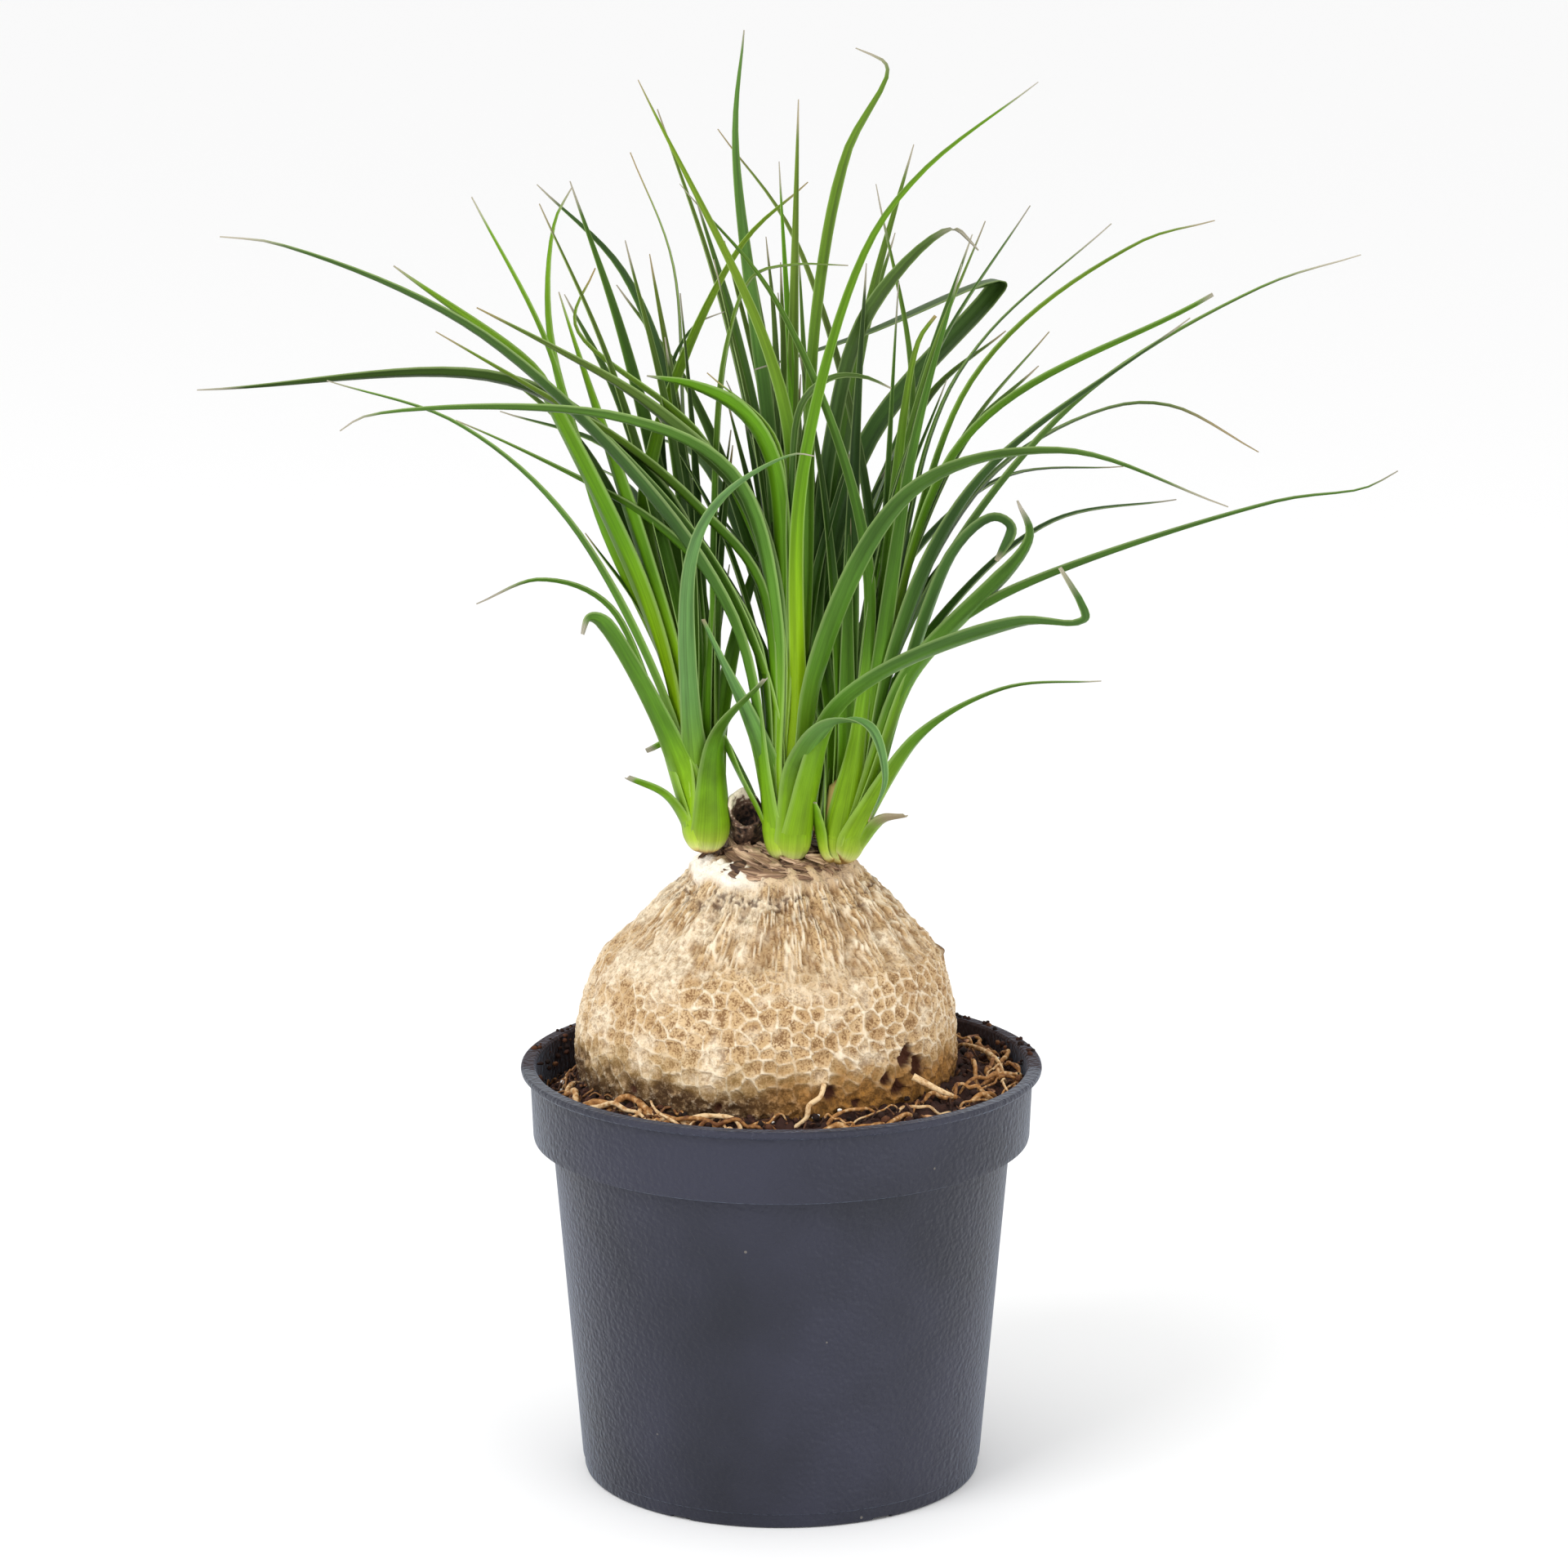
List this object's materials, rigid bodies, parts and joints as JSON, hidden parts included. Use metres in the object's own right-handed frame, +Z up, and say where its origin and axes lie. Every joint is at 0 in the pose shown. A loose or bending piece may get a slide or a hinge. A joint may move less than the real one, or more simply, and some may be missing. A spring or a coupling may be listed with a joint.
{
  "type": "potted ponytail palm",
  "caption": "Young ponytail palm with a swollen corky trunk base and tufts of narrow arching strap leaves, standing in soil in a round plain nursery pot.",
  "frame": {"origin": "centre of the flat underside of the pot, on the surface that the pot stands on", "axes": "+Z up along the pot's own axis, -Y towards the viewer of the picture, +X to the viewer's right"},
  "size_m": [0.2637, 0.1553, 0.3302],
  "materials": {
    "pot_plastic": "satin, finely grained",
    "soil": "dull, crumbly peat soil with stringy roots",
    "corky_bark": "matte, corky plates in a net of paler ridges",
    "leaf": "satin, finely veined"
  },
  "bodies": {
    "root": {"pot": "pot_plastic", "soil": "soil", "caudex": "corky_bark", "shoot_left": "leaf", "shoot_middle": "leaf", "shoot_right": "leaf", "shoot_back": "leaf"}
  },
  "joints": []
}
